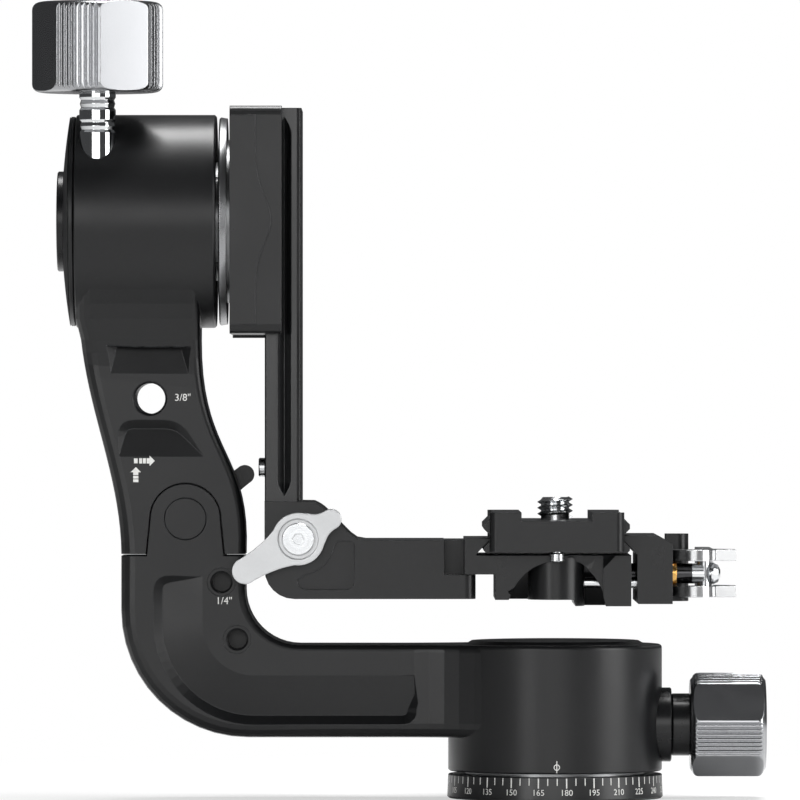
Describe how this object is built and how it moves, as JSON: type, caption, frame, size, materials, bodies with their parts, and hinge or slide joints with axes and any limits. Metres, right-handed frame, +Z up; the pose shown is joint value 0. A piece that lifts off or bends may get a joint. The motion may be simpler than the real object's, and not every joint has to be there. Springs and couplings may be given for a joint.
{
  "type": "gimbal tripod head",
  "caption": "Folding gimbal tripod head: panning foot, L-shaped arm, tilt housing, dovetail rail and cradle arm with a lever clamp and sliding camera plate.",
  "frame": {"origin": "centre of the foot's underside, on the pan axis", "axes": "+Z up along the pan axis, +X to the right of the front view, from the pan axis away from the arm, -Y towards the viewer"},
  "size_m": [0.1971, 0.0852, 0.214],
  "materials": {
    "black_anodised": "satin black anodised",
    "dark_anodised": "black anodised, turned",
    "raw_aluminium": "machined",
    "silver_anodised": "light satin anodised with bright edges",
    "gunmetal": "glossy grey anodised",
    "steel": "turned steel",
    "dark_steel": "blackened steel",
    "polished_steel": "polished",
    "chrome": "bright chrome",
    "brass": "machined brass"
  },
  "bodies": {
    "foot": {"scale_ring": "dark_anodised", "base_plate": "dark_anodised", "tripod_socket": "steel", "base_screws": "dark_steel", "pan_spindle": "raw_aluminium", "pan_race_lower": "steel", "pan_cage": "brass", "pan_balls": "polished_steel", "spindle_nut": "dark_steel"},
    "pan_arm": {"lower_arm": "black_anodised", "arm_thread_inserts": "dark_steel", "pan_race_upper": "steel", "pan_bush": "brass", "pan_lid": "black_anodised", "pan_collar": "dark_anodised", "fold_pin": "steel", "fold_pin_cap": "black_anodised"},
    "pan_lock": {"pan_knob_stud": "steel", "pan_knob_hub": "dark_anodised", "pan_knob": "gunmetal"},
    "pan_shoe": {"pan_brake_shoe": "brass"},
    "fold_lock": {"fold_lever": "dark_anodised", "fold_lever_screw": "dark_steel"},
    "fold_slider": {"fold_block": "brass"},
    "tilt_arm": {"upper_arm": "black_anodised", "tilt_end_cap": "black_anodised", "tilt_cap_disc": "dark_anodised", "tilt_outer_races": "steel", "tilt_balls": "polished_steel", "tilt_cotter_upper": "brass"},
    "tilt_lock": {"tilt_knob": "gunmetal", "tilt_knob_shaft": "chrome"},
    "tilt_grip": {"tilt_cotter_lower": "brass"},
    "swing": {"tilt_inner_races": "steel", "tilt_shaft": "raw_aluminium", "tilt_shaft_nut": "dark_steel", "tilt_flange_ring": "raw_aluminium", "rail_clamp_body": "black_anodised", "rail_clamp_screws": "dark_steel", "rail_guide_pins": "steel"},
    "rail_lock": {"rail_knob": "gunmetal", "rail_knob_stud": "steel"},
    "rail_grip": {"rail_clamp_jaw": "black_anodised"},
    "rail_bar": {"rail": "black_anodised", "rail_stop_pin": "steel", "cradle_bush": "brass"},
    "cradle": {"cradle_arm": "black_anodised", "cradle_bolt": "steel", "cradle_nut": "dark_steel", "plate_clamp_body": "black_anodised", "plate_clamp_screws": "dark_steel", "draw_rod": "steel"},
    "cradle_lock": {"cradle_lever": "silver_anodised"},
    "jaw": {"clamp_jaw": "black_anodised", "brass_bush": "brass", "guide_rods": "steel"},
    "cam": {"cam_lever": "silver_anodised"},
    "plate": {"qr_plate": "black_anodised", "plate_stop_pins": "steel"},
    "screw": {"camera_screw": "steel"}
  },
  "joints": [
    {"name": "pan", "type": "hinge", "parent": "foot", "child": "pan_arm", "pos_m": [0, 0, 0], "axis": [0, 0, 1], "continuous": true},
    {"name": "pan_lock_turn", "type": "hinge", "parent": "pan_shoe", "child": "pan_lock", "pos_m": [0.03, 0, 0.0197], "axis": [1, 0, 0], "range_deg": [-360, 0]},
    {"name": "pan_shoe_slide", "type": "slide", "parent": "pan_arm", "child": "pan_shoe", "axis": [1, 0, 0], "range_m": [0, 0.00125]},
    {"name": "fold_lock_turn", "type": "hinge", "parent": "pan_arm", "child": "fold_lock", "pos_m": [-0.0995, 0, 0.0754], "axis": [0, 1, 0], "range_deg": [-60, 0]},
    {"name": "arm_fold", "type": "hinge", "parent": "pan_arm", "child": "fold_slider", "pos_m": [-0.0995, 0, 0.0754], "axis": [0, 1, 0], "range_deg": [0, 10]},
    {"name": "arm_lift", "type": "slide", "parent": "fold_slider", "child": "tilt_arm", "axis": [0, 0, 1], "range_m": [0, 0.013]},
    {"name": "tilt_lock_turn", "type": "hinge", "parent": "tilt_arm", "child": "tilt_lock", "pos_m": [-0.1229, -0.0187, 0.1897], "axis": [0, 0, 1], "range_deg": [0, 360]},
    {"name": "tilt_grip_slide", "type": "slide", "parent": "tilt_arm", "child": "tilt_grip", "axis": [0, 0, 1], "range_m": [-0.001, 0]},
    {"name": "tilt", "type": "hinge", "parent": "tilt_arm", "child": "swing", "pos_m": [-0.1, 0, 0.1555], "axis": [1, 0, 0], "range_deg": [-330, 5]},
    {"name": "rail_lock_turn", "type": "hinge", "parent": "rail_grip", "child": "rail_lock", "pos_m": [-0.0825, 0.031, 0.1555], "axis": [0, 1, 0], "range_deg": [-720, 0]},
    {"name": "rail_grip_slide", "type": "slide", "parent": "swing", "child": "rail_grip", "axis": [0, 1, 0], "range_m": [0, 0.002]},
    {"name": "rail_slide", "type": "slide", "parent": "swing", "child": "rail_bar", "axis": [0, 0, 1], "range_m": [0, 0.0325]},
    {"name": "cradle_fold", "type": "hinge", "parent": "rail_bar", "child": "cradle", "pos_m": [-0.06905, 0, 0.07015], "axis": [0, -1, 0], "range_deg": [0, 78]},
    {"name": "cradle_lock_turn", "type": "hinge", "parent": "cradle", "child": "cradle_lock", "pos_m": [-0.06905, -0.025, 0.07015], "axis": [0, -1, 0], "range_deg": [0, 60]},
    {"name": "cam_turn", "type": "hinge", "parent": "cradle", "child": "cam", "pos_m": [0.0402, 0, 0.0605], "axis": [0, 0, -1], "range_deg": [0, 100]},
    {"name": "jaw_slide", "type": "slide", "parent": "cradle", "child": "jaw", "axis": [1, 0, 0], "range_m": [0, 0.00227]},
    {"name": "plate_slide", "type": "slide", "parent": "cradle", "child": "plate", "axis": [0, 1, 0], "range_m": [-0.003, 0.003]},
    {"name": "camera_screw_turn", "type": "hinge", "parent": "plate", "child": "screw", "pos_m": [0, 0, 0.07], "axis": [0, 0, 1], "continuous": true}
  ],
  "couplings": [
    {"joint": "pan_lock_turn", "follows": "pan_shoe_slide", "rad_per_m": -5026.5},
    {"joint": "arm_lift", "follows": "arm_fold", "m_per_rad": 0.07448},
    {"joint": "tilt_lock_turn", "follows": "tilt_grip_slide", "rad_per_m": -6283.2},
    {"joint": "rail_lock_turn", "follows": "rail_grip_slide", "rad_per_m": -6283.2},
    {"joint": "cam_turn", "follows": "jaw_slide", "rad_per_m": 769.23}
  ]
}
